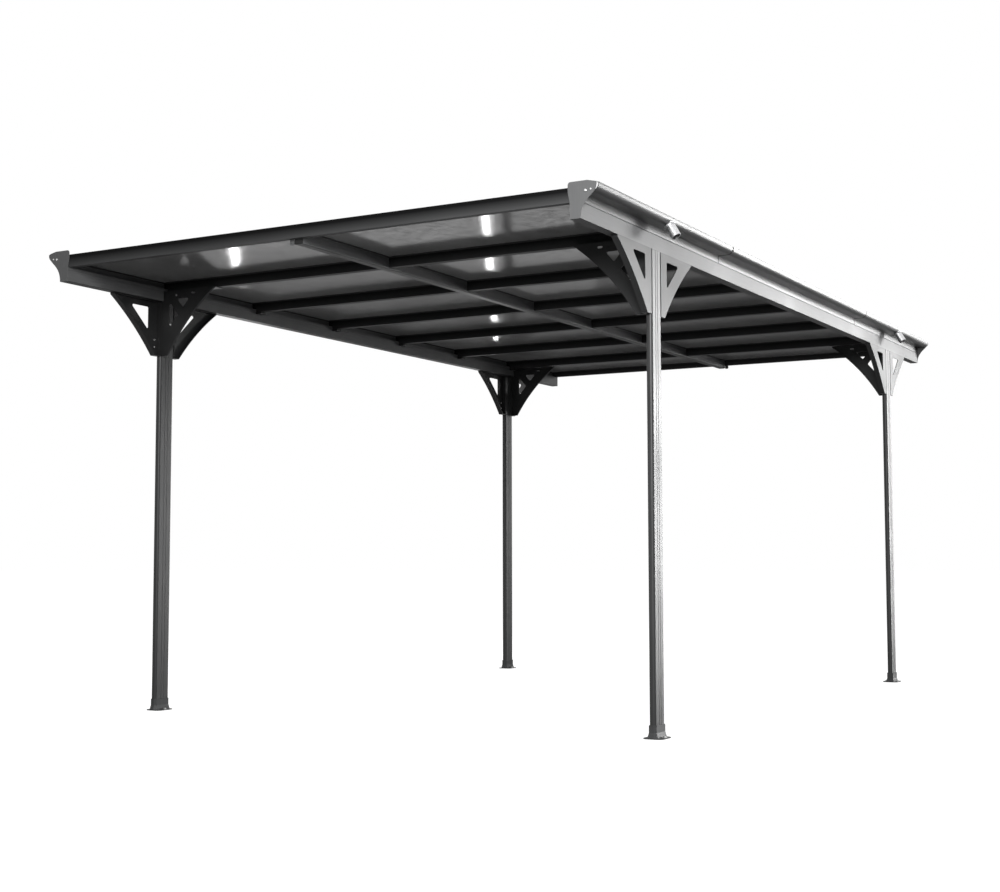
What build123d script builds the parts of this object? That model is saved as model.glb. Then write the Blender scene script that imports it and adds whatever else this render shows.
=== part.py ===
"""Flat-roofed aluminium carport: four posts, two eaves beams with gutters,
eight cross members, a middle purlin and seven twin-wall roof sheets.

Millimetres. +X is to the right, +Y is towards the back, +Z is up, and the origin
is on the ground in the middle of the plan.
"""

from build123d import *
import os
from math import atan2, cos, degrees, hypot, radians, sin, sqrt, tan

os.makedirs("parts", exist_ok=True)

# Overall layout
bay = 710
bay_count = 7
roof_width = 2712
beam_base = 2035
post_bays_in = 1
fit_gap = 0.3

# Posts and feet
post_x_size = 29
post_y_size = 100
post_wall = 2
post_radius = 12
post_groove_width = 5
post_groove_depth = 0.9
post_groove_spacing = 20
foot_x_size = 92
foot_y_size = 116
foot_radius = 26
foot_thickness = 4
foot_collar_wall = 3
foot_collar_height = 52
foot_flare = 6
foot_flare_height = 22
anchor_hole_radius = 4.5
anchor_hole_spacing = 68

# Eaves beams: a box with an upstand on its outer side
beam_width = 46
beam_wall = 2.2
ledge_height = 66
shelf_depth = 20
shelf_height = 102
beam_top = 126
beam_lip = 3
groove_height = 53
groove_width = 3
groove_depth = 1.4

# Gutters
gutter_wall = 2
gutter_reach = 76
gutter_skirt_base = 66
gutter_floor = 100
gutter_brim = 129
gutter_top = 134
gutter_lip = 7
gutter_seam = 0.8
gutter_front_bays = 2

# Gutter outlets
outlet_radius = 22
outlet_neck_radius = 20
outlet_bore_radius = 18.5
outlet_length = 60
outlet_seat = 3
outlet_inside = 12
outlet_tilt = 30

# End plates
plate_thickness = 3
plate_top = 145
plate_shoulder = 136
plate_reach = 68
plate_bulge = 9
plate_radius = 12

# Cross members and purlin
rafter_base = 52
rafter_width = 36
rafter_wall = 2
rib_width = 8
cap_width = 46
cap_thickness = 5
fascia_depth = 30
fascia_top = 124
fascia_wall = 2.5
purlin_width = 44
purlin_base = 44
purlin_wall = 2
purlin_radius = 6

# Roof sheets
sheet_thickness = 10

# Braces: the bars are what is left between a window and the edge beside it
brace_sheet = 4
brace_rim = 3
brace_drop = 275
brace_window_radius = 7
side_brace_reach = 330
side_brace_foot = 40
side_brace_tip = 8
side_brace_sag = 14
side_bar_post = 62
side_bar_beam = 32
side_bar_long = 78
cross_brace_reach = 336
cross_brace_depth = 12
cross_brace_foot = 42
cross_brace_tip = 6
cross_brace_sag = 22
cross_bar_post = 56
cross_bar_top = 45
cross_bar_long = 85
cross_strut = 44
cross_strut_angle = 50
cross_strut_place = 37
cross_slot_length = 25
cross_slot_width = 10
cross_slot_place = 209

# Sizes that follow from the ones above
half_width = roof_width / 2
roof_length = bay * bay_count
half_length = roof_length / 2
post_x = half_width - post_x_size / 2
post_y = half_length - post_bays_in * bay
rafter_lines = [bay * number - half_length for number in range(1, bay_count)]
rafter_length = roof_width - 2 * shelf_depth - 2 * fit_gap
cap_base = shelf_height + sheet_thickness + fit_gap
sides = {"left": -1, "right": 1}
ends = {"front": -1, "back": 1}


def upright(origin, outward):
    """A vertical plane: local x runs outward, local y is up."""
    return Plane(origin=origin, x_dir=outward, z_dir=Vector(*outward).cross(Vector(0, 0, 1)))


def eaves(side, y=0):
    """The cross-section plane of one eaves: x from the beam's outer face, y from its underside."""
    return upright((side * half_width, y, beam_base), (side, 0, 0))


def cross_section(x=0, y=0, side=1):
    """The cross-section plane of a cross member, looking along X."""
    return upright((x, y, beam_base), (0, side, 0))


# Posts: fluted rounded tubes that stand on the feet and carry the beams
for end_name, end in ends.items():
    for side_name, side in sides.items():
        with BuildPart() as post:
            with BuildSketch(Plane(origin=(side * post_x, end * post_y, foot_thickness))):
                RectangleRounded(post_x_size, post_y_size, post_radius)
                RectangleRounded(
                    post_x_size - 2 * post_wall,
                    post_y_size - 2 * post_wall,
                    post_radius - post_wall,
                    mode=Mode.SUBTRACT,
                )
                with GridLocations(post_x_size, post_groove_spacing, 2, 2):
                    Rectangle(2 * post_groove_depth, post_groove_width, mode=Mode.SUBTRACT)
            extrude(amount=beam_base - foot_thickness)
        post.part.label = f"post_{end_name}_{side_name}"
        export_step(post.part, f"parts/post_{end_name}_{side_name}.step")

# Feet: a plate with two anchor holes and a flared collar round the post
pocket_x = post_x_size + 2 * fit_gap
pocket_y = post_y_size + 2 * fit_gap
pocket_flat = (post_radius + fit_gap) * (2 - sqrt(2))
flare_angle = degrees(atan2(foot_flare, foot_flare_height))


def collar_profile(margin):
    """The pocket's outline with its corner flats, which touch the post's rounding, grown by a margin."""
    with BuildSketch() as profile:
        Rectangle(pocket_x, pocket_y)
        chamfer(profile.vertices(), length=pocket_flat)
        if margin:
            offset(amount=margin, kind=Kind.INTERSECTION)
    return profile.sketch


for end_name, end in ends.items():
    for side_name, side in sides.items():
        ground = Plane(origin=(side * post_x, end * post_y, 0))
        plate_face = ground.offset(foot_thickness)
        with BuildPart() as foot:
            with BuildSketch(plate_face):
                add(collar_profile(foot_collar_wall))
            extrude(amount=foot_collar_height)
            with BuildSketch(plate_face):
                add(collar_profile(foot_collar_wall + foot_flare))
            extrude(amount=foot_flare_height, taper=flare_angle)
            with BuildSketch(plate_face):
                add(collar_profile(0))
            extrude(amount=foot_collar_height, mode=Mode.SUBTRACT)
            with BuildSketch(ground):
                RectangleRounded(foot_x_size, foot_y_size, foot_radius)
            extrude(amount=foot_thickness)
            with Locations(plate_face):
                with GridLocations(anchor_hole_spacing, 0, 2, 1):
                    Hole(anchor_hole_radius, depth=foot_thickness)
        foot.part.label = f"foot_{end_name}_{side_name}"
        export_step(foot.part, f"parts/foot_{end_name}_{side_name}.step")

# Eaves beams: the rafters rest on the ledge, the sheets on the shelf above it
for side_name, side in sides.items():
    with BuildPart() as beam:
        with BuildSketch(eaves(side)):
            with BuildLine():
                Polyline(
                    (0, 0),
                    (-beam_width, 0),
                    (-beam_width, ledge_height),
                    (-shelf_depth, ledge_height),
                    (-shelf_depth, shelf_height),
                    (-beam_lip, shelf_height),
                    (-beam_lip, beam_top),
                    (0, beam_top),
                    close=True,
                )
            make_face()
            with Locations((-beam_width / 2, ledge_height / 2)):
                Rectangle(
                    beam_width - 2 * beam_wall, ledge_height - 2 * beam_wall, mode=Mode.SUBTRACT
                )
            with Locations((-shelf_depth / 2, ledge_height)):
                Rectangle(
                    shelf_depth - 2 * beam_wall,
                    shelf_height - ledge_height - beam_wall,
                    align=(Align.CENTER, Align.MIN),
                    mode=Mode.SUBTRACT,
                )
            outer_groove = gutter_skirt_base - groove_width / 2
            with Locations((0, outer_groove), (-beam_width, groove_height)):
                Rectangle(2 * groove_depth, groove_width, mode=Mode.SUBTRACT)
        extrude(amount=half_length, both=True)
    beam.part.label = f"beam_{side_name}"
    export_step(beam.part, f"parts/beam_{side_name}.step")

# Gutters: a flat skirt on the beam's face and a rounded channel with a turned-in lip
front_seam = gutter_front_bays * bay - half_length
gutter_runs = {
    "front": (-half_length, front_seam - gutter_seam / 2),
    "middle": (front_seam + gutter_seam / 2, -front_seam - gutter_seam / 2),
    "back": (-front_seam + gutter_seam / 2, half_length),
}
channel_radius = gutter_brim - gutter_floor
channel_center = (gutter_reach - channel_radius, gutter_brim)


def outlet_plane(side, end):
    """The outlet's upper end: its axis is a radius of the channel and leans outward."""
    lean = Vector(sin(radians(outlet_tilt)), -cos(radians(outlet_tilt)))
    start = Vector(*channel_center) + lean * (channel_radius - outlet_inside)
    local = eaves(side, end * post_y)
    axis = local.from_local_coords(lean) - local.origin
    return Plane(origin=local.from_local_coords(start), x_dir=local.z_dir, z_dir=axis)


for side_name, side in sides.items():
    for run_name, (start, stop) in gutter_runs.items():
        with BuildPart() as gutter:
            with BuildSketch(eaves(side, (start + stop) / 2)):
                with BuildLine():
                    Polyline(
                        (channel_center[0], gutter_floor),
                        (gutter_wall, gutter_floor),
                        (gutter_wall, gutter_skirt_base),
                        (0, gutter_skirt_base),
                        (0, gutter_top),
                        (gutter_wall, gutter_top),
                        (gutter_wall, gutter_floor + gutter_wall),
                        (channel_center[0], gutter_floor + gutter_wall),
                    )
                    CenterArc(channel_center, channel_radius - gutter_wall, 270, 90)
                    Polyline(
                        (gutter_reach - gutter_wall, gutter_brim),
                        (gutter_reach - gutter_wall, gutter_top - gutter_wall),
                        (gutter_reach - gutter_lip, gutter_top - gutter_wall),
                        (gutter_reach - gutter_lip, gutter_top),
                        (gutter_reach, gutter_top),
                        (gutter_reach, gutter_brim),
                    )
                    CenterArc(channel_center, channel_radius, 270, 90)
                make_face()
            extrude(amount=(stop - start) / 2, both=True)
            if run_name in ends:
                with BuildSketch(outlet_plane(side, ends[run_name])):
                    Circle(outlet_neck_radius + fit_gap)
                extrude(amount=outlet_inside + outlet_seat, mode=Mode.SUBTRACT)
        gutter.part.label = f"gutter_{side_name}_{run_name}"
        export_step(gutter.part, f"parts/gutter_{side_name}_{run_name}.step")

# Gutter outlets: a spigot by each post, with a neck that goes up through the channel
neck_length = outlet_inside + outlet_seat
for side_name, side in sides.items():
    with BuildPart() as outlets:
        for end in ends.values():
            mouth = outlet_plane(side, end)
            with BuildSketch(mouth):
                Circle(outlet_neck_radius)
            extrude(amount=neck_length)
            with BuildSketch(mouth.offset(neck_length)):
                Circle(outlet_radius)
            extrude(amount=outlet_length)
            with BuildSketch(mouth):
                Circle(outlet_bore_radius)
            extrude(amount=neck_length + outlet_length, mode=Mode.SUBTRACT)
    outlets.part.label = f"gutter_outlets_{side_name}"
    export_step(outlets.part, f"parts/gutter_outlets_{side_name}.step")

# End plates: shaped covers over the ends of the beam and the gutter
for end_name, end in ends.items():
    for side_name, side in sides.items():
        with BuildPart() as end_plate:
            with BuildSketch(eaves(side, end * (half_length + plate_thickness / 2))):
                with BuildLine():
                    Spline(
                        (0, 0),
                        (plate_reach * 0.15, gutter_skirt_base * 0.7),
                        (plate_reach * 0.5, gutter_floor * 0.78),
                        (plate_reach * 0.87, gutter_floor + channel_radius * 0.1),
                        (plate_reach, plate_shoulder),
                        tangents=((0, 1), (0.1, 1)),
                    )
                    Polyline(
                        (plate_reach, plate_shoulder),
                        (plate_reach * 0.42, plate_top),
                        (plate_radius - beam_width - plate_bulge, plate_top),
                    )
                    RadiusArc(
                        (plate_radius - beam_width - plate_bulge, plate_top),
                        (-beam_width - plate_bulge, plate_top - plate_radius),
                        -plate_radius,
                    )
                    Spline(
                        (-beam_width - plate_bulge, plate_top - plate_radius),
                        (-beam_width - plate_bulge * 0.9, shelf_height),
                        (-beam_width, groove_height),
                        tangents=((0, -1), (0, -1)),
                    )
                    Polyline((-beam_width, groove_height), (-beam_width, 0), (0, 0))
                make_face()
            extrude(amount=plate_thickness / 2, both=True)
        end_plate.part.label = f"end_plate_{end_name}_{side_name}"
        export_step(end_plate.part, f"parts/end_plate_{end_name}_{side_name}.step")

# Rafters: a box with a rib between two sheets and a cap over their edges. The box is notched
# over the purlin and at its ends, where its sides rest on the beams' ledges
box_height = shelf_height - rafter_base
seat_length = beam_width - shelf_depth
for number, line in enumerate(rafter_lines, start=1):
    with BuildPart() as rafter:
        with BuildSketch(cross_section(y=line)):
            with Locations((0, rafter_base + box_height / 2)):
                Rectangle(rafter_width, box_height)
                Rectangle(
                    rafter_width - 2 * rafter_wall, box_height - 2 * rafter_wall, mode=Mode.SUBTRACT
                )
            with Locations((0, shelf_height)):
                Rectangle(rib_width, cap_base - shelf_height, align=(Align.CENTER, Align.MIN))
            with Locations((0, cap_base)):
                Rectangle(cap_width, cap_thickness, align=(Align.CENTER, Align.MIN))
        extrude(amount=rafter_length / 2, both=True)
        with BuildSketch(cross_section(y=line)):
            with Locations((0, rafter_base + box_height / 2)):
                Rectangle(2 * rafter_width, box_height)
        extrude(amount=purlin_width / 2 + fit_gap, both=True, mode=Mode.SUBTRACT)
        for side in sides.values():
            with BuildSketch(cross_section(side * rafter_length / 2, line)):
                with Locations((0, rafter_base)):
                    Rectangle(
                        rafter_width, ledge_height - rafter_base, align=(Align.CENTER, Align.MIN)
                    )
            extrude(amount=seat_length, dir=(-side, 0, 0), mode=Mode.SUBTRACT)
    rafter.part.label = f"rafter_{number}"
    export_step(rafter.part, f"parts/rafter_{number}.step")

# Fascias: a box on the ledges closed by a taller outer face, with a lip over the sheet's edge
fascia_box = shelf_height - ledge_height
for end_name, end in ends.items():
    with BuildPart() as fascia:
        with BuildSketch(cross_section(y=end * half_length, side=-end)):
            with Locations((fascia_depth / 2, ledge_height + fascia_box / 2)):
                Rectangle(fascia_depth, fascia_box)
                Rectangle(
                    fascia_depth - 2 * fascia_wall, fascia_box - 2 * fascia_wall, mode=Mode.SUBTRACT
                )
            with Locations((0, shelf_height)):
                Rectangle(
                    fascia_wall, fascia_top - shelf_height, align=(Align.MIN, Align.MIN)
                )
            with Locations((0, cap_base)):
                Rectangle(cap_width / 2, fascia_wall, align=(Align.MIN, Align.MIN))
        extrude(amount=rafter_length / 2, both=True)
    fascia.part.label = f"{end_name}_fascia"
    export_step(fascia.part, f"parts/{end_name}_fascia.step")

# Purlin: runs from fascia to fascia under the sheets, deeper than the rafters
purlin_height = shelf_height - purlin_base
purlin_length = roof_length - 2 * fascia_depth - 2 * fit_gap
with BuildPart() as purlin:
    with BuildSketch(upright((0, 0, beam_base), (1, 0, 0))):
        with Locations((0, purlin_base + purlin_height / 2)):
            RectangleRounded(purlin_width, purlin_height, purlin_radius)
            RectangleRounded(
                purlin_width - 2 * purlin_wall,
                purlin_height - 2 * purlin_wall,
                purlin_radius - purlin_wall,
                mode=Mode.SUBTRACT,
            )
    extrude(amount=purlin_length / 2, both=True)
purlin.part.label = "purlin"
export_step(purlin.part, "parts/purlin.step")

# Roof sheets: one to a bay, between the ribs of its two cross members
sheet_x_size = roof_width - 2 * beam_lip - 2 * fit_gap
sheet_edges = [-half_length + fascia_wall + fit_gap]
for line in rafter_lines:
    sheet_edges += [line - rib_width / 2 - fit_gap, line + rib_width / 2 + fit_gap]
sheet_edges.append(half_length - fascia_wall - fit_gap)
for number in range(1, bay_count + 1):
    start, stop = sheet_edges[2 * number - 2 : 2 * number]
    with BuildPart() as sheet:
        with BuildSketch(Plane(origin=(0, (start + stop) / 2, beam_base + shelf_height))):
            Rectangle(sheet_x_size, stop - start)
        extrude(amount=sheet_thickness)
    sheet.part.label = f"roof_sheet_{number}"
    export_step(sheet.part, f"parts/roof_sheet_{number}.step")


def point_on(line, x):
    """The point at x on a line given by its slope and its height at x = 0."""
    slope, height = line
    return (x, slope * x + height)


def crossing(line, other):
    """The point where two such lines meet."""
    return point_on(line, (other[1] - line[1]) / (line[0] - other[0]))


def long_bar_line(reach, tip_height, foot, inset):
    """The inner side of the bar on a brace's long edge, parallel to the edge's chord."""
    slope = (tip_height + brace_drop) / (reach - foot)
    return (slope, inset * hypot(1, slope) - slope * foot - brace_drop)


def brace_web(corners, sag, windows):
    """A brace seen flat: straight sides, a hollow long edge and rounded windows."""
    with BuildSketch() as web:
        with BuildLine():
            Polyline(*corners)
            SagittaArc(corners[0], corners[-1], sag)
        make_face()
        for window in windows:
            with BuildLine():
                Polyline(*window, close=True)
            make_face(mode=Mode.SUBTRACT)
        if windows:
            fillet(web.face().inner_wires().vertices(), radius=brace_window_radius)
    return web.sketch


def brace_frame(corners, sag):
    """The rim round a brace, seen flat."""
    with BuildSketch() as frame:
        add(brace_web(corners, sag, []))
        offset(amount=-brace_rim, kind=Kind.INTERSECTION, mode=Mode.SUBTRACT)
    return frame.sketch


# Side braces: under the beam, before and behind each post, rims turned inward
side_corners = [
    (side_brace_foot, -brace_drop),
    (0, -brace_drop),
    (0, 0),
    (side_brace_reach, 0),
    (side_brace_reach, -side_brace_tip),
]
side_line = long_bar_line(side_brace_reach, -side_brace_tip, side_brace_foot, side_bar_long)
side_window = [
    (side_bar_post, -side_bar_beam),
    crossing(side_line, (0, -side_bar_beam)),
    point_on(side_line, side_bar_post),
]
side_web = brace_web(side_corners, side_brace_sag, [side_window])
side_frame = brace_frame(side_corners, side_brace_sag)
for end_name, end in ends.items():
    for side_name, side in sides.items():
        with BuildPart() as side_braces:
            for facing in (-1, 1):
                corner = (side * half_width, end * post_y + facing * post_y_size / 2, beam_base)
                with BuildSketch(upright(corner, (0, facing, 0))):
                    add(side_web)
                extrude(amount=brace_sheet, dir=(-side, 0, 0))
                with BuildSketch(upright(corner, (0, facing, 0))):
                    add(side_frame)
                extrude(amount=post_x_size, dir=(-side, 0, 0))
        side_braces.part.label = f"side_braces_{end_name}_{side_name}"
        export_step(side_braces.part, f"parts/side_braces_{end_name}_{side_name}.step")

# Cross braces: from the post's inner face to the rafter, stepped round the beam, with a
# flange on top that the rafter rests on
flange_depth = (post_y_size + rafter_width) / 2
beam_step = beam_width - post_x_size
cross_corners = [
    (cross_brace_foot, -brace_drop),
    (0, -brace_drop),
    (0, 0),
    (beam_step, 0),
    (beam_step, rafter_base),
    (cross_brace_reach, rafter_base),
    (cross_brace_reach, rafter_base - cross_brace_tip),
]
cross_line = long_bar_line(
    cross_brace_reach, rafter_base - cross_brace_tip, cross_brace_foot, cross_bar_long
)
window_top = rafter_base - cross_bar_top
strut_slope = -tan(radians(cross_strut_angle))
strut_start = rafter_base - strut_slope * cross_strut_place
strut_half = cross_strut / 2 * hypot(1, strut_slope)
strut_upper = (strut_slope, strut_start + strut_half)
strut_lower = (strut_slope, strut_start - strut_half)
cross_windows = [
    [
        crossing(strut_upper, (0, window_top)),
        crossing(cross_line, (0, window_top)),
        crossing(cross_line, strut_upper),
    ],
    [
        point_on(strut_lower, cross_bar_post),
        crossing(cross_line, strut_lower),
        point_on(cross_line, cross_bar_post),
    ],
]
with BuildSketch() as cross_web:
    add(brace_web(cross_corners, cross_brace_sag, cross_windows))
    with Locations((cross_slot_place, rafter_base - cross_bar_top / 2)):
        SlotOverall(cross_slot_length, cross_slot_width, mode=Mode.SUBTRACT)
cross_frame = brace_frame(cross_corners, cross_brace_sag)
for end_name, end in ends.items():
    for side_name, side in sides.items():
        face_y = end * (post_y + post_y_size / 2)
        corner = (side * (half_width - post_x_size), face_y, beam_base)
        with BuildPart() as cross_brace:
            with BuildSketch(upright(corner, (-side, 0, 0))):
                add(cross_web.sketch)
            extrude(amount=brace_sheet, dir=(0, -end, 0))
            with BuildSketch(upright(corner, (-side, 0, 0))):
                add(cross_frame)
            extrude(amount=cross_brace_depth, dir=(0, -end, 0))
            with BuildSketch(upright(corner, (-side, 0, 0))):
                with Locations((beam_step, rafter_base)):
                    Rectangle(
                        cross_brace_reach - beam_step, brace_rim, align=(Align.MIN, Align.MAX)
                    )
            extrude(amount=flange_depth, dir=(0, -end, 0))
        cross_brace.part.label = f"cross_brace_{end_name}_{side_name}"
        export_step(cross_brace.part, f"parts/cross_brace_{end_name}_{side_name}.step")
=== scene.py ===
"""Carport: finishes, fasteners, seals and trim around the CAD frame, with light and camera.

Metres, in the frame's axes: +X right, +Y back, +Z up, the origin on the ground.
"""

from math import cos, pi, radians, sin

import bmesh
import bpy
from mathutils import Matrix, Quaternion, Vector


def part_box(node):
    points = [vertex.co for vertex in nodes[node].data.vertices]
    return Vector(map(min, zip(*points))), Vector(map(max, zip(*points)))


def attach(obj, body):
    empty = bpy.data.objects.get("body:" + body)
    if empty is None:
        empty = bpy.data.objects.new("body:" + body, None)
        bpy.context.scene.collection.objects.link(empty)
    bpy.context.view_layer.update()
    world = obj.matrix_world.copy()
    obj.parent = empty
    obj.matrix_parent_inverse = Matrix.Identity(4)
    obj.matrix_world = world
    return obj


for name in ("Cube", "Light", "Camera"):
    if name in bpy.data.objects:
        bpy.data.objects.remove(bpy.data.objects[name])

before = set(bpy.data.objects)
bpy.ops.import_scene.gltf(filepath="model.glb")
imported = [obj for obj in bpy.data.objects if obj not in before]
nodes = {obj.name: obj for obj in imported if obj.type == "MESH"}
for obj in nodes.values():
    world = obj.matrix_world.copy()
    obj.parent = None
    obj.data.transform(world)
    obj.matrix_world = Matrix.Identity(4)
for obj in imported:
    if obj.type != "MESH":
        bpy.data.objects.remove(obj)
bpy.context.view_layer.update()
scene = bpy.context.scene

ENDS = (-1, 1)  # front and back
SIDES = (-1, 1)  # left and right

# Places read from the frame
BEAM_LOW, BEAM_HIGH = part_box("beam_right")
POST_LOW, POST_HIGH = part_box("post_back_right")
GUTTER_LOW, GUTTER_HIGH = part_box("gutter_right_back")
RAFTER_LOW, RAFTER_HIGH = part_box("rafter_6")
PURLIN_LOW, PURLIN_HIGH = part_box("purlin")
SHEET_LOW, SHEET_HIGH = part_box("roof_sheet_4")
FASCIA_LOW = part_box("back_fascia")[0]
PLATE_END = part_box("end_plate_back_right")[1].y
OUTER_FACE, INNER_FACE, BEAM_BASE = BEAM_HIGH.x, BEAM_LOW.x, BEAM_LOW.z
FASCIA_IN = FASCIA_LOW.y
POST_X = (POST_LOW.x + POST_HIGH.x) / 2
POST_Y = (POST_LOW.y + POST_HIGH.y) / 2
RAFTER_BOXES = [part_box(f"rafter_{number}") for number in range(1, 7)]
RAFTER_LINES = [(low.y + high.y) / 2 for low, high in RAFTER_BOXES]

HAIR = 0.0002  # keeps a small piece's face out of the plane of what carries it


# Node helpers
def new_material(name):
    """An empty node material with its output node."""
    material = bpy.data.materials.new(name)
    material.use_nodes = True
    tree = material.node_tree
    tree.nodes.clear()
    return material, tree, tree.nodes.new("ShaderNodeOutputMaterial")


def node(tree, kind, **inputs):
    """A node with the values of some of its inputs; underscores stand for spaces."""
    made = tree.nodes.new(kind)
    for key, value in inputs.items():
        made.inputs[key.replace("_", " ")].default_value = value
    return made


def stretched(tree, scale):
    """Object coordinates scaled differently along each axis, so that noise becomes streaks."""
    where = tree.nodes.new("ShaderNodeTexCoord")
    mapping = tree.nodes.new("ShaderNodeMapping")
    mapping.inputs["Scale"].default_value = scale
    tree.links.new(where.outputs["Object"], mapping.inputs["Vector"])
    return mapping.outputs["Vector"]


def noise(tree, scale, rate, detail=3.0):
    """Noise over stretched coordinates."""
    made = node(tree, "ShaderNodeTexNoise", Scale=rate, Detail=detail, Roughness=0.5)
    tree.links.new(stretched(tree, scale), made.inputs["Vector"])
    return made.outputs["Fac"]


def ramp(tree, value, low, high, from_low=0.3, from_high=0.7):
    """Maps a value to a range."""
    made = tree.nodes.new("ShaderNodeMapRange")
    made.inputs["From Min"].default_value = from_low
    made.inputs["From Max"].default_value = from_high
    made.inputs["To Min"].default_value = low
    made.inputs["To Max"].default_value = high
    tree.links.new(value, made.inputs["Value"])
    return made.outputs["Result"]


def multiply_add(tree, value, factor, addend):
    """A value times a number, plus another node's output."""
    made = tree.nodes.new("ShaderNodeMath")
    made.operation = "MULTIPLY_ADD"
    tree.links.new(value, made.inputs[0])
    made.inputs[1].default_value = factor
    tree.links.new(addend, made.inputs[2])
    return made.outputs[0]


def grey_between(tree, value, low, high):
    """A neutral colour between two greys."""
    made = tree.nodes.new("ShaderNodeMix")
    made.data_type = "RGBA"
    made.inputs[6].default_value = (*low, 1)
    made.inputs[7].default_value = (*high, 1)
    tree.links.new(value, made.inputs[0])
    return made.outputs[2]


def bump(tree, heights):
    """Bump nodes in a row, from (height output, distance, strength) in order."""
    normal = None
    for height, distance, strength in heights:
        made = node(tree, "ShaderNodeBump", Distance=distance, Strength=strength)
        tree.links.new(height, made.inputs["Height"])
        if normal:
            tree.links.new(normal, made.inputs["Normal"])
        normal = made.outputs["Normal"]
    return normal


# How noise is stretched, its rates per metre, and the (distance, strength) of its bumps
EVENLY = (1, 1, 1)
ALONG = {"x": (1, 40, 40), "y": (40, 1, 40), "z": (40, 40, 1)}
BRUSHED = (30, 30, 3)
CLOUD_RATE, DIE_LINE_RATE, PEEL_RATE, BRUSH_RATE = 2.3, 9.0, 900.0, 30.0
DIE_LINE_SHARE = 0.45
COAT_TONES = (0.5, 0.95)
DIE_LINE_BUMP, PEEL_BUMP, BRUSH_BUMP = (0.0004, 0.06), (0.0002, 0.08), (0.0003, 0.2)
NEAR_BLACK = (0.004, 0.004, 0.0042, 1)


def coated_metal(name, along, dark, light, rough=(0.5, 0.62), specular=0.3, shade=None):
    """Powder-coated extrusion: fine orange peel, and faint die lines along the profile.

    shade gives two heights, and from the first to the second the coat goes to near-black.
    It paints in the dark that the photo shows, which the lamps here don't give.
    """
    material, tree, out = new_material(name)
    shader = node(tree, "ShaderNodeBsdfPrincipled", Specular_IOR_Level=specular)
    clouds = noise(tree, EVENLY, CLOUD_RATE, 4.0)
    lines = noise(tree, ALONG[along], DIE_LINE_RATE, 2.0)
    peel = noise(tree, EVENLY, PEEL_RATE, 2.0)
    mixed = multiply_add(tree, lines, DIE_LINE_SHARE, clouds)
    colour = grey_between(tree, ramp(tree, mixed, 0, 1, *COAT_TONES), dark, light)
    if shade:
        where = tree.nodes.new("ShaderNodeTexCoord")
        split = tree.nodes.new("ShaderNodeSeparateXYZ")
        tree.links.new(where.outputs["Object"], split.inputs[0])
        shaded = tree.nodes.new("ShaderNodeMix")
        shaded.data_type = "RGBA"
        tree.links.new(ramp(tree, split.outputs["Z"], 0, 1, *shade), shaded.inputs[0])
        tree.links.new(colour, shaded.inputs[6])
        shaded.inputs[7].default_value = NEAR_BLACK
        colour = shaded.outputs[2]
    tree.links.new(colour, shader.inputs["Base Color"])
    tree.links.new(ramp(tree, clouds, *rough), shader.inputs["Roughness"])
    normal = bump(tree, [(lines, *DIE_LINE_BUMP), (peel, *PEEL_BUMP)])
    tree.links.new(normal, shader.inputs["Normal"])
    tree.links.new(shader.outputs["BSDF"], out.inputs["Surface"])
    return material


def bare_metal(name, dark, light, rough):
    """Bright metal with brushed streaks."""
    material, tree, out = new_material(name)
    shader = node(tree, "ShaderNodeBsdfPrincipled", Metallic=1.0)
    brushed = noise(tree, BRUSHED, BRUSH_RATE)
    colour = grey_between(tree, ramp(tree, brushed, 0, 1), dark, light)
    tree.links.new(colour, shader.inputs["Base Color"])
    tree.links.new(ramp(tree, brushed, *rough), shader.inputs["Roughness"])
    tree.links.new(bump(tree, [(brushed, *BRUSH_BUMP)]), shader.inputs["Normal"])
    tree.links.new(shader.outputs["BSDF"], out.inputs["Surface"])
    return material


WAVE_RATE = 20.0  # the wave node turns by this many radians per unit of scale
MOTTLE_RATE, SHEET_CLOUD_RATE = 26.0, 1.7
WEB_SHARE = 0.25
SHEET_TONES = (0.3, 0.95)
SHEET_DARK, SHEET_LIGHT = (0.14, 0.14, 0.14), (0.27, 0.27, 0.27)
SHEET_ROUGHNESS = (0.09, 0.16)
UPPER_ROUGHNESS = 0.4  # more on the upper side, where a lamp would show as a white patch
WEB_BUMP, MOTTLE_BUMP = (0.0002, 0.1), (0.0003, 0.05)
TRANSLUCENCY = 0.35


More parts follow.
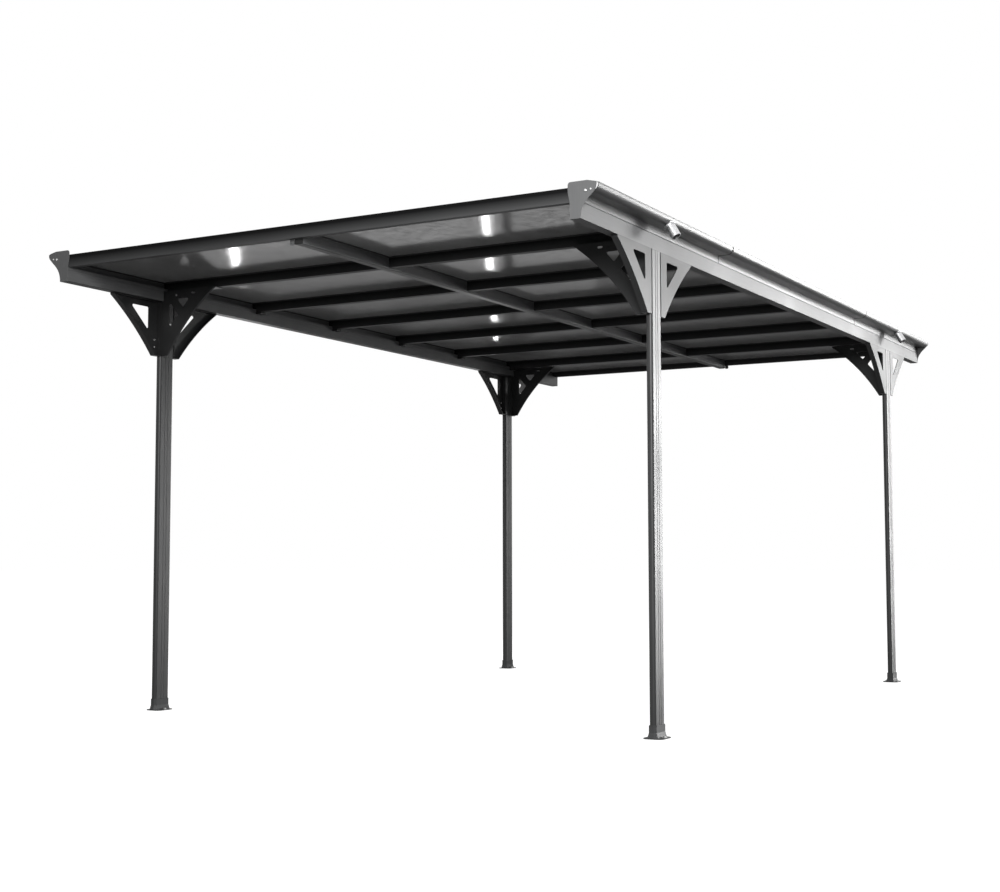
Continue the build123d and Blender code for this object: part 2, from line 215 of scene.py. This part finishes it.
def twin_wall(name, pitch):
    """Grey translucent sheet whose inner webs show as fine lines from gutter to gutter."""
    material, tree, out = new_material(name)
    where = tree.nodes.new("ShaderNodeTexCoord")
    waves = node(tree, "ShaderNodeTexWave", Scale=2 * pi / (WAVE_RATE * pitch), Distortion=0.0)
    waves.bands_direction = "Y"
    tree.links.new(where.outputs["Object"], waves.inputs["Vector"])
    webs = waves.outputs["Fac"]
    mottle = noise(tree, EVENLY, MOTTLE_RATE)
    clouds = noise(tree, EVENLY, SHEET_CLOUD_RATE)
    shader = node(tree, "ShaderNodeBsdfPrincipled",
                  IOR=1.5, Specular_IOR_Level=0.4, Anisotropic=0.9)
    across = tree.nodes.new("ShaderNodeCombineXYZ")
    across.inputs["Y"].default_value = 1.0
    tree.links.new(across.outputs[0], shader.inputs["Tangent"])
    tone = ramp(tree, multiply_add(tree, webs, WEB_SHARE, clouds), 0, 1, *SHEET_TONES)
    colour = grey_between(tree, tone, SHEET_DARK, SHEET_LIGHT)
    tree.links.new(colour, shader.inputs["Base Color"])
    facing_way = tree.nodes.new("ShaderNodeSeparateXYZ")
    tree.links.new(where.outputs["Normal"], facing_way.inputs[0])
    upper_side = tree.nodes.new("ShaderNodeMath")
    upper_side.operation = "GREATER_THAN"
    tree.links.new(facing_way.outputs["Z"], upper_side.inputs[0])
    upper_side.inputs[1].default_value = 0.5
    smoothness = ramp(tree, mottle, *SHEET_ROUGHNESS)
    roughness = multiply_add(tree, upper_side.outputs[0], UPPER_ROUGHNESS, smoothness)
    tree.links.new(roughness, shader.inputs["Roughness"])
    normal = bump(tree, [(webs, *WEB_BUMP), (mottle, *MOTTLE_BUMP)])
    tree.links.new(normal, shader.inputs["Normal"])
    through = node(tree, "ShaderNodeBsdfTranslucent")
    tree.links.new(colour, through.inputs["Color"])
    both = node(tree, "ShaderNodeMixShader", Fac=TRANSLUCENCY)
    tree.links.new(shader.outputs["BSDF"], both.inputs[1])
    tree.links.new(through.outputs["BSDF"], both.inputs[2])
    tree.links.new(both.outputs["Shader"], out.inputs["Surface"])
    return material


RUBBER_GRAIN_RATE = 300.0
RUBBER_DARK, RUBBER_LIGHT = (0.008, 0.008, 0.008), (0.02, 0.02, 0.02)


def rubber(name):
    """Matt black rubber with a fine grain."""
    material, tree, out = new_material(name)
    shader = node(tree, "ShaderNodeBsdfPrincipled", Specular_IOR_Level=0.3)
    grain = noise(tree, EVENLY, RUBBER_GRAIN_RATE, 2.0)
    colour = grey_between(tree, grain, RUBBER_DARK, RUBBER_LIGHT)
    tree.links.new(colour, shader.inputs["Base Color"])
    tree.links.new(ramp(tree, grain, 0.6, 0.85), shader.inputs["Roughness"])
    tree.links.new(shader.outputs["BSDF"], out.inputs["Surface"])
    return material


# Coats: one powder coat in copies of different grey, each grey matching its member in the photo
# under these lamps; the differences between them are painted light and shade
post_coat = coated_metal(
    "powder_coat", "z", (0.020, 0.0204, 0.0208), (0.032, 0.0325, 0.033),
    rough=(0.38, 0.46), specular=0.35)
beam_coat = coated_metal(
    "beam_coat", "y", (0.065, 0.066, 0.067), (0.1, 0.101, 0.102),
    rough=(0.42, 0.5), specular=0.25, shade=(BEAM_BASE + 0.0018, BEAM_BASE + 0.0004))
brace_coat = coated_metal(
    "brace_coat", "z", (0.012, 0.0122, 0.0124), (0.018, 0.0183, 0.0186), rough=(0.42, 0.52))
rafter_coat = coated_metal(
    "rafter_coat", "x", (0.028, 0.0283, 0.0286), (0.04, 0.0404, 0.0408),
    rough=(0.5, 0.6), specular=0.1, shade=(RAFTER_LOW.z + 0.001, RAFTER_LOW.z + 0.043))
fascia_coat = coated_metal(
    "fascia_coat", "x", (0.05, 0.0505, 0.051), (0.06, 0.0606, 0.0612),
    rough=(0.5, 0.6), specular=0.05, shade=(FASCIA_LOW.z - 0.001, FASCIA_LOW.z + 0.045))
gutter_coat = coated_metal(
    "gutter_coat", "y", (0.024, 0.0245, 0.025), (0.036, 0.0365, 0.037),
    rough=(0.34, 0.42), specular=0.4)
purlin_coat = coated_metal(
    "purlin_coat", "y", (0.05, 0.051, 0.052), (0.07, 0.071, 0.072),
    rough=(0.42, 0.5), shade=(PURLIN_LOW.z + 0.0012, PURLIN_LOW.z + 0.0002))
plate_coat = coated_metal("plate_coat", "z", (0.075, 0.076, 0.077), (0.10, 0.101, 0.102))
foot_coat = coated_metal("foot_coat", "z", (0.03, 0.031, 0.032), (0.05, 0.051, 0.052))
outlet_metal = bare_metal("outlet_metal", (0.58, 0.58, 0.59), (0.8, 0.8, 0.81), (0.2, 0.32))
screw_metal = bare_metal("screw_metal", (0.7, 0.7, 0.7), (0.9, 0.9, 0.9), (0.2, 0.35))
sheet_plastic = twin_wall("twin_wall_plastic", pitch=0.011)
seal_rubber = rubber("seal_rubber")

# Which coat each member gets, in the grey that paints its light and shade
COAT_AND_PAINTED_SHADE = {
    "post": post_coat,
    "foot": foot_coat,
    "beam": beam_coat,
    "gutter": gutter_coat,
    "gutter_outlets": outlet_metal,
    "end_plate": plate_coat,
    "side_braces": brace_coat,
    "cross_brace": brace_coat,
    "rafter": rafter_coat,
    "purlin": purlin_coat,
    "roof_sheet": sheet_plastic,
    "front_fascia": fascia_coat,
    "back_fascia": fascia_coat,
}
for name, piece in nodes.items():
    kind = max((key for key in COAT_AND_PAINTED_SHADE if name.startswith(key)), key=len)
    for index in range(len(piece.data.materials)):
        piece.data.materials[index] = COAT_AND_PAINTED_SHADE[kind]


# Mesh helpers for the small pieces
SMOOTH_ANGLE = radians(35)


def add_piece(name, mesh, material):
    """Turns a bmesh into a piece that rides on the frame."""
    bmesh.ops.recalc_face_normals(mesh, faces=mesh.faces)
    data = bpy.data.meshes.new(name)
    mesh.to_mesh(data)
    mesh.free()
    for face in data.polygons:
        face.use_smooth = True
    data.set_sharp_from_angle(angle=SMOOTH_ANGLE)
    data.materials.append(material)
    piece = bpy.data.objects.new(name, data)
    scene.collection.objects.link(piece)
    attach(piece, "root")


def facing(place, axis, turn=0.0):
    """A frame at a place whose Z looks along an axis."""
    look = Vector(axis).to_track_quat("Z", "Y").to_matrix().to_4x4()
    return Matrix.Translation(place) @ look @ Matrix.Rotation(turn, 4, "Z")


def band(mesh, low, high):
    """Faces between two rings of equal length."""
    for index in range(len(low)):
        after = (index + 1) % len(low)
        mesh.faces.new((low[index], low[after], high[after], high[index]))


def skinned(mesh, rings):
    """Faces between rings of points in order, with the first and the last one filled."""
    rows = [[mesh.verts.new(point) for point in ring] for ring in rings]
    for low, high in zip(rows, rows[1:]):
        band(mesh, low, high)
    mesh.faces.new(rows[0])
    mesh.faces.new(rows[-1])


def turned(mesh, profile, sides, matrix):
    """A turned shape from (radius, height) pairs."""
    angles = [2 * pi * (step + 0.5) / sides for step in range(sides)]
    skinned(mesh, [[matrix @ Vector((radius * cos(a), radius * sin(a), height)) for a in angles]
                   for radius, height in profile])


def seal_loop(mesh, low, high, profile):
    """A strip round the inside of a rectangle; profile holds (distance in, height) pairs."""
    corners = [(low[0], low[1], 1, 1), (high[0], low[1], -1, 1),
               (high[0], high[1], -1, -1), (low[0], high[1], 1, -1)]
    rings = [[mesh.verts.new((x + inward_x * inset, y + inward_y * inset, z))
              for inset, z in profile] for x, y, inward_x, inward_y in corners]
    for here, there in zip(rings, rings[1:] + rings[:1]):
        band(mesh, here, there)


# Profiles of (radius, height) pairs
WASHER = [(0.0095, -0.0004), (0.0095, 0.0010), (0.0088, 0.0016)]
HEX_HEAD = [(0.0074, 0.0014), (0.0074, 0.0058), (0.0064, 0.0066),
            (0.0035, 0.0066), (0.0030, 0.0062)]
SCREW_HEAD = [(0.0054, -0.0004), (0.0054, 0.0009), (0.0047, 0.0024),
              (0.0031, 0.0031), (0.0023, 0.0031), (0.0020, 0.0018)]
COLLAR = [(0.0222, 0.0302), (0.0265, 0.0308), (0.0272, 0.0330), (0.0262, 0.0352),
          (0.0245, 0.0372), (0.0242, 0.0392), (0.0222, 0.0402)]
WASHER_SIDES, HEX_SIDES, SCREW_SIDES, COLLAR_SIDES = 20, 6, 12, 32


def hex_bolt(mesh, place, axis, turn):
    """A washer under a chamfered hexagon head."""
    turned(mesh, WASHER, WASHER_SIDES, facing(place, axis))
    turned(mesh, HEX_HEAD, HEX_SIDES, facing(place, axis, turn))


def screw(mesh, place, axis, size=1.0):
    """A pan head with a socket."""
    head = [(radius * size, height * size) for radius, height in SCREW_HEAD]
    turned(mesh, head, SCREW_SIDES, facing(place, axis))


# Rubber seals: under the sheets round every opening, and on top beside the cap strips.
# Their profiles hold (distance in, distance from the sheet) pairs.
RIB_HALF = 0.018
CAP_HALF = (RAFTER_HIGH.y - RAFTER_LOW.y) / 2
SEAL_UNDER = [(-0.0005, HAIR), (-0.0005, 0.0052), (0.0012, 0.0064),
              (0.0030, 0.0058), (0.0042, 0.0034), (0.0046, HAIR)]
SEAL_OVER = [(-0.0005, HAIR), (-0.0005, 0.0030), (0.0010, 0.0036),
             (0.0024, 0.0026), (0.0032, HAIR)]


def bays(half):
    """Where each bay starts and stops along Y, between members this wide to each side."""
    starts = [-FASCIA_IN] + [line + half for line in RAFTER_LINES]
    stops = [line - half for line in RAFTER_LINES] + [FASCIA_IN]
    return zip(starts, stops)


under_seals, over_seals = bmesh.new(), bmesh.new()
under_profile = [(inset, SHEET_LOW.z - depth) for inset, depth in SEAL_UNDER]
over_profile = [(inset, SHEET_HIGH.z + rise) for inset, rise in SEAL_OVER]
for start, stop in bays(RIB_HALF):
    for low, high in ((PURLIN_HIGH.x, RAFTER_HIGH.x), (-RAFTER_HIGH.x, PURLIN_LOW.x)):
        seal_loop(under_seals, (low, start), (high, stop), under_profile)
for start, stop in bays(CAP_HALF):
    seal_loop(over_seals, (-SHEET_HIGH.x, start), (SHEET_HIGH.x, stop), over_profile)
add_piece("seals_under_sheets", under_seals, seal_rubber)
add_piece("seals_over_sheets", over_seals, seal_rubber)

# Gaskets over the gutter joints, following the outside of the profile
GUTTER_WALL, SKIRT_BASE, CHANNEL_FLOOR = 0.002, 0.066, 0.100
CHANNEL_BRIM, CHANNEL_TOP = 0.129, 0.134
REACH = GUTTER_HIGH.x - OUTER_FACE
CHANNEL_RADIUS = CHANNEL_BRIM - CHANNEL_FLOOR
CHANNEL_MIDDLE = REACH - CHANNEL_RADIUS
ARC_STEPS = 12
GASKET_WIDTH, GASKET_RISE, GASKET_SINK = 0.009, 0.0008, 0.0003


def gutter_outline(offset):
    """The outside of the gutter, moved outward: pairs of distance from the beam and height."""
    skirt, floor_height = GUTTER_WALL + offset, CHANNEL_FLOOR - offset
    radius = CHANNEL_RADIUS + offset
    line = [(skirt, SKIRT_BASE), (skirt, floor_height), (CHANNEL_MIDDLE, floor_height)]
    for step in range(1, ARC_STEPS + 1):
        angle = radians(90 * step / ARC_STEPS - 90)
        line.append((CHANNEL_MIDDLE + radius * cos(angle), CHANNEL_BRIM + radius * sin(angle)))
    return line + [(REACH + offset, CHANNEL_TOP - HAIR)]


gaskets = bmesh.new()
section = gutter_outline(GASKET_RISE) + gutter_outline(-GASKET_SINK)[::-1]
for side in SIDES:
    for joint in (GUTTER_LOW.y, -GUTTER_LOW.y):
        edges = (joint - GASKET_WIDTH / 2, joint + GASKET_WIDTH / 2)
        skinned(gaskets, [[(side * (OUTER_FACE + out), y, BEAM_BASE + height)
                           for out, height in section] for y in edges])
add_piece("gutter_joint_gaskets", gaskets, seal_rubber)


def plate(mesh, low, high, radius, steps=4):
    """A flat bar between two corners whose outline is rounded when seen along Y."""
    outline = []
    for corner, (right, upper) in enumerate(((1, 1), (0, 1), (0, 0), (1, 0))):
        middle_x = high[0] - radius if right else low[0] + radius
        middle_z = high[2] - radius if upper else low[2] + radius
        for step in range(steps + 1):
            angle = pi / 2 * (corner + step / steps)
            outline.append((middle_x + radius * cos(angle), middle_z + radius * sin(angle)))
    skinned(mesh, [[(x, y, z) for x, z in outline] for y in (low[1], high[1])])


# Shoes under the rafters' ends
SHOE_LENGTH, SHOE_DROP, SHOE_HALF, SHOE_RADIUS = 0.034, 0.013, 0.0205, 0.004
shoes = bmesh.new()
for side in SIDES:
    inner, outer = sorted((side * (INNER_FACE - SHOE_LENGTH), side * INNER_FACE))
    for line in RAFTER_LINES:
        plate(shoes, (inner, line - SHOE_HALF, RAFTER_LOW.z - SHOE_DROP),
              (outer, line + SHOE_HALF, RAFTER_LOW.z + HAIR), SHOE_RADIUS)

# Cleats that hold the purlin to the fascias, and plugs in its ends
CLEAT_THICKNESS, CLEAT_SINK = 0.004, 0.0003
CLEAT_START, CLEAT_STOP, CLEAT_DROP, CLEAT_RADIUS = 0.001, 0.024, 0.024, 0.006
CLEAT_SCREW_OUT, CLEAT_SCREW_DROP, CLEAT_SCREW_SIZE = 0.0125, 0.012, 0.9
PLUG_INSET, PLUG_TOP_GAP, PLUG_RADIUS = 0.0015, 0.0005, 0.003
cleats, plugs = bmesh.new(), bmesh.new()
for end in ENDS:
    cleat_face = end * (FASCIA_IN + CLEAT_THICKNESS)
    low_y, high_y = sorted((cleat_face, end * (FASCIA_IN - CLEAT_SINK)))
    low_x, high_x = sorted((end * (PURLIN_HIGH.x + CLEAT_STOP),
                            end * (PURLIN_HIGH.x + CLEAT_START)))
    plate(cleats, (low_x, low_y, FASCIA_LOW.z - CLEAT_DROP),
          (high_x, high_y, FASCIA_LOW.z - HAIR), CLEAT_RADIUS)
    screw(cleats, (end * (PURLIN_HIGH.x + CLEAT_SCREW_OUT), cleat_face,
                   FASCIA_LOW.z - CLEAT_SCREW_DROP), (0, end, 0), CLEAT_SCREW_SIZE)
    plate(plugs, (PURLIN_LOW.x + PLUG_INSET, low_y, PURLIN_LOW.z + PLUG_INSET),
          (PURLIN_HIGH.x - PLUG_INSET, high_y, FASCIA_LOW.z - PLUG_TOP_GAP), PLUG_RADIUS)
add_piece("purlin_plugs", plugs, seal_rubber)
add_piece("rafter_shoes", shoes, brace_coat)
add_piece("purlin_cleats", cleats, plate_coat)

# Fasteners and outlet collars. Heights are from the beam's base.
PLATE_SCREWS = ((0.021, 0.106, 1.0), (0.043, 0.109, 0.7))  # out from the beam, height, size
FOOT_BOLT_OUT, FOOT_PLATE_TOP = 0.034, 0.004
FOOT_BOLT_TURN, FOOT_BOLT_TWIST = 0.2, 0.306
SIDE_SCREW_HEIGHTS, SIDE_SCREW_ALONG, SIDE_SCREW_SINK = (-0.193, -0.229), 0.068, 0.004
CROSS_SCREWS = ((0.129, 0.026), (0.094, -0.121))  # in from the beam's outer face, height
CROSS_SCREW_ALONG = 0.050
CAP_SCREWS_EACH_WAY, CAP_SCREW_SPACING, CAP_SCREW_SIZE = 4, 0.320, 1.1
OUTLET_TILT = radians(30)
plate_screws, brace_screws, foot_bolts, cap_screws, collars = (bmesh.new() for _ in range(5))
for end in ENDS:
    for side in SIDES:
        for out, height, size in PLATE_SCREWS:
            place = (side * (OUTER_FACE + out), end * PLATE_END, BEAM_BASE + height)
            screw(plate_screws, place, (0, end, 0), size)
        for way in (1, -1):
            hex_bolt(foot_bolts,
                     (side * POST_X + way * FOOT_BOLT_OUT, end * POST_Y, FOOT_PLATE_TOP),
                     (0, 0, 1), FOOT_BOLT_TURN + way * FOOT_BOLT_TWIST)
        for height in SIDE_SCREW_HEIGHTS:
            for way in (-1, 1):
                screw(brace_screws, (side * (OUTER_FACE - SIDE_SCREW_SINK),
                                     end * POST_Y + way * SIDE_SCREW_ALONG,
                                     BEAM_BASE + height), (-side, 0, 0))
        for inward, height in CROSS_SCREWS:
            place = (side * (OUTER_FACE - inward), end * (POST_Y + CROSS_SCREW_ALONG),
                     BEAM_BASE + height)
            screw(brace_screws, place, (0, end, 0))
        lean = Vector((side * sin(OUTLET_TILT), 0, -cos(OUTLET_TILT)))
        middle = Vector((side * (OUTER_FACE + CHANNEL_MIDDLE), end * POST_Y,
                         BEAM_BASE + CHANNEL_BRIM))
        turned(collars, COLLAR, COLLAR_SIDES, facing(middle, lean))
for line in RAFTER_LINES:
    for step in range(-CAP_SCREWS_EACH_WAY, CAP_SCREWS_EACH_WAY + 1):
        place = (step * CAP_SCREW_SPACING, line, RAFTER_HIGH.z)
        screw(cap_screws, place, (0, 0, 1), CAP_SCREW_SIZE)
add_piece("end_plate_screws", plate_screws, screw_metal)
add_piece("brace_screws", brace_screws, screw_metal)
add_piece("foot_bolts", foot_bolts, screw_metal)
add_piece("cap_screws", cap_screws, screw_metal)
add_piece("outlet_collars", collars, outlet_metal)

# Camera
CAMERA_PLACE = (3.977, -7.772, 0.715)
CAMERA_YAW, CAMERA_PITCH, CAMERA_ROLL = radians(29.387), radians(4.340), radians(-0.085)
FOCAL_PIXELS, IMAGE_WIDTH, SENSOR_WIDTH = 1563.4, 1000, 36.0
FURTHEST_SEEN = 400
camera = bpy.data.objects.new("camera", bpy.data.cameras.new("camera"))
scene.collection.objects.link(camera)
forward = Vector((-sin(CAMERA_YAW) * cos(CAMERA_PITCH),
                  cos(CAMERA_YAW) * cos(CAMERA_PITCH), sin(CAMERA_PITCH)))
level = Vector((cos(CAMERA_YAW), sin(CAMERA_YAW), 0))
right = level * cos(CAMERA_ROLL) + level.cross(forward) * sin(CAMERA_ROLL)
up = right.cross(forward)
aim = Matrix((right, up, -forward)).transposed().to_4x4()
camera.matrix_world = Matrix.Translation(CAMERA_PLACE) @ aim
camera.data.sensor_width = SENSOR_WIDTH
camera.data.lens = FOCAL_PIXELS / IMAGE_WIDTH * SENSOR_WIDTH
camera.data.clip_end = FURTHEST_SEEN
scene.camera = camera


# World and floor
def seen_directly(tree):
    """1 for camera, gloss and transmission rays, 0 for the rays that only carry light."""
    path = tree.nodes.new("ShaderNodeLightPath")
    total = path.outputs["Is Camera Ray"]
    for kind in ("Is Glossy Ray", "Is Transmission Ray"):
        either = tree.nodes.new("ShaderNodeMath")
        either.operation = "MAXIMUM"
        tree.links.new(total, either.inputs[0])
        tree.links.new(path.outputs[kind], either.inputs[1])
        total = either.outputs[0]
    return total


def shown_as(tree, lit, shown):
    """One shader for the light, and another for what the camera, gloss and glass show."""
    mix = tree.nodes.new("ShaderNodeMixShader")
    tree.links.new(seen_directly(tree), mix.inputs["Fac"])
    tree.links.new(lit, mix.inputs[1])
    tree.links.new(shown, mix.inputs[2])
    return mix.outputs["Shader"]


SKY_STRENGTH = 0.32
world = bpy.data.worlds.new("studio")
scene.world = world
world.use_nodes = True
tree = world.node_tree
tree.nodes.clear()
sky = node(tree, "ShaderNodeBackground", Color=(1, 1, 1, 1), Strength=SKY_STRENGTH)
white = node(tree, "ShaderNodeEmission", Strength=1.0)
out = tree.nodes.new("ShaderNodeOutputWorld")
tree.links.new(shown_as(tree, sky.outputs[0], white.outputs[0]), out.inputs["Surface"])

FLOOR_HALF = 150.0
FLOOR_GRAIN_RATE = 3.0
FLOOR_DARK, FLOOR_LIGHT = (0.31, 0.31, 0.31), (0.35, 0.35, 0.35)
FLOOR_GLOW, MIRRORED_GLOW = 0.93, 0.10


def floor_material():
    """Pale floor that glows to near-white for the camera, and only a little in reflections."""
    material, tree, out = new_material("floor")
    pale = tree.nodes.new("ShaderNodeBsdfDiffuse")
    grain = noise(tree, EVENLY, FLOOR_GRAIN_RATE)
    tree.links.new(grey_between(tree, grain, FLOOR_DARK, FLOOR_LIGHT), pale.inputs["Color"])
    glow = tree.nodes.new("ShaderNodeEmission")
    mirrored = tree.nodes.new("ShaderNodeLightPath").outputs["Is Glossy Ray"]
    tree.links.new(ramp(tree, mirrored, FLOOR_GLOW, MIRRORED_GLOW, 0, 1),
                   glow.inputs["Strength"])
    glowing = tree.nodes.new("ShaderNodeAddShader")
    tree.links.new(pale.outputs[0], glowing.inputs[0])
    tree.links.new(glow.outputs[0], glowing.inputs[1])
    tree.links.new(shown_as(tree, pale.outputs[0], glowing.outputs[0]), out.inputs["Surface"])
    return material


floor_mesh = bpy.data.meshes.new("floor")
corners = [(x * FLOOR_HALF, y * FLOOR_HALF, 0) for x, y in ((-1, -1), (1, -1), (1, 1), (-1, 1))]
floor_mesh.from_pydata(corners, [], [(0, 1, 2, 3)])
floor_mesh.materials.append(floor_material())
floor = bpy.data.objects.new("floor", floor_mesh)
scene.collection.objects.link(floor)


# Lamps
def area_light(name, place, target, size, power, lean=0, spread=180):
    """A soft rectangular lamp that the camera doesn't show; lean and spread in degrees."""
    lamp = bpy.data.lights.new(name, "AREA")
    lamp.shape = "RECTANGLE"
    lamp.size, lamp.size_y = size
    lamp.energy = power
    lamp.spread = radians(spread)
    holder = bpy.data.objects.new(name, lamp)
    holder.location = place
    holder.rotation_mode = "QUATERNION"
    look = (Vector(target) - Vector(place)).to_track_quat("-Z", "Y")
    holder.rotation_quaternion = look @ Quaternion((0, 0, 1), radians(lean))
    holder.visible_camera = False
    scene.collection.objects.link(holder)


# The strips stand behind the roof and face the camera, and show as streaks in the sheets
STRIP_TARGET, STRIP_SIZE = (3.98, -7.77, 1.05), (0.045, 2.1)
area_light("sheen_near", (5.95, 9.6, 2.3), (1.3, -2.4, 1.5), (2.0, 4.6), 64, spread=46)
area_light("sheen_far", (3.8, 9.8, 2.3), (1.3, 1.0, 1.6), (2.4, 4.6), 80)
area_light("fill_front", (3.2, -5.5, 2.6), (1.2, -2.0, 1.9), (1.5, 1.2), 280)
area_light("top", (0.0, 0.0, 8.0), (0.0, 0.0, 0.0), (8.0, 8.0), 500)
area_light("strip_left", (-3.92, 1.92, 1.05), STRIP_TARGET, STRIP_SIZE, 6, lean=12)
area_light("strip_right", (-2.47, 3.5, 1.05), STRIP_TARGET, STRIP_SIZE, 5.5, lean=5)
area_light("glow_low", (-4.3, 4.5, 0.3), (2.0, -4.0, 0.9), (4.2, 0.55), 8)
scene.view_settings.view_transform = "Standard"
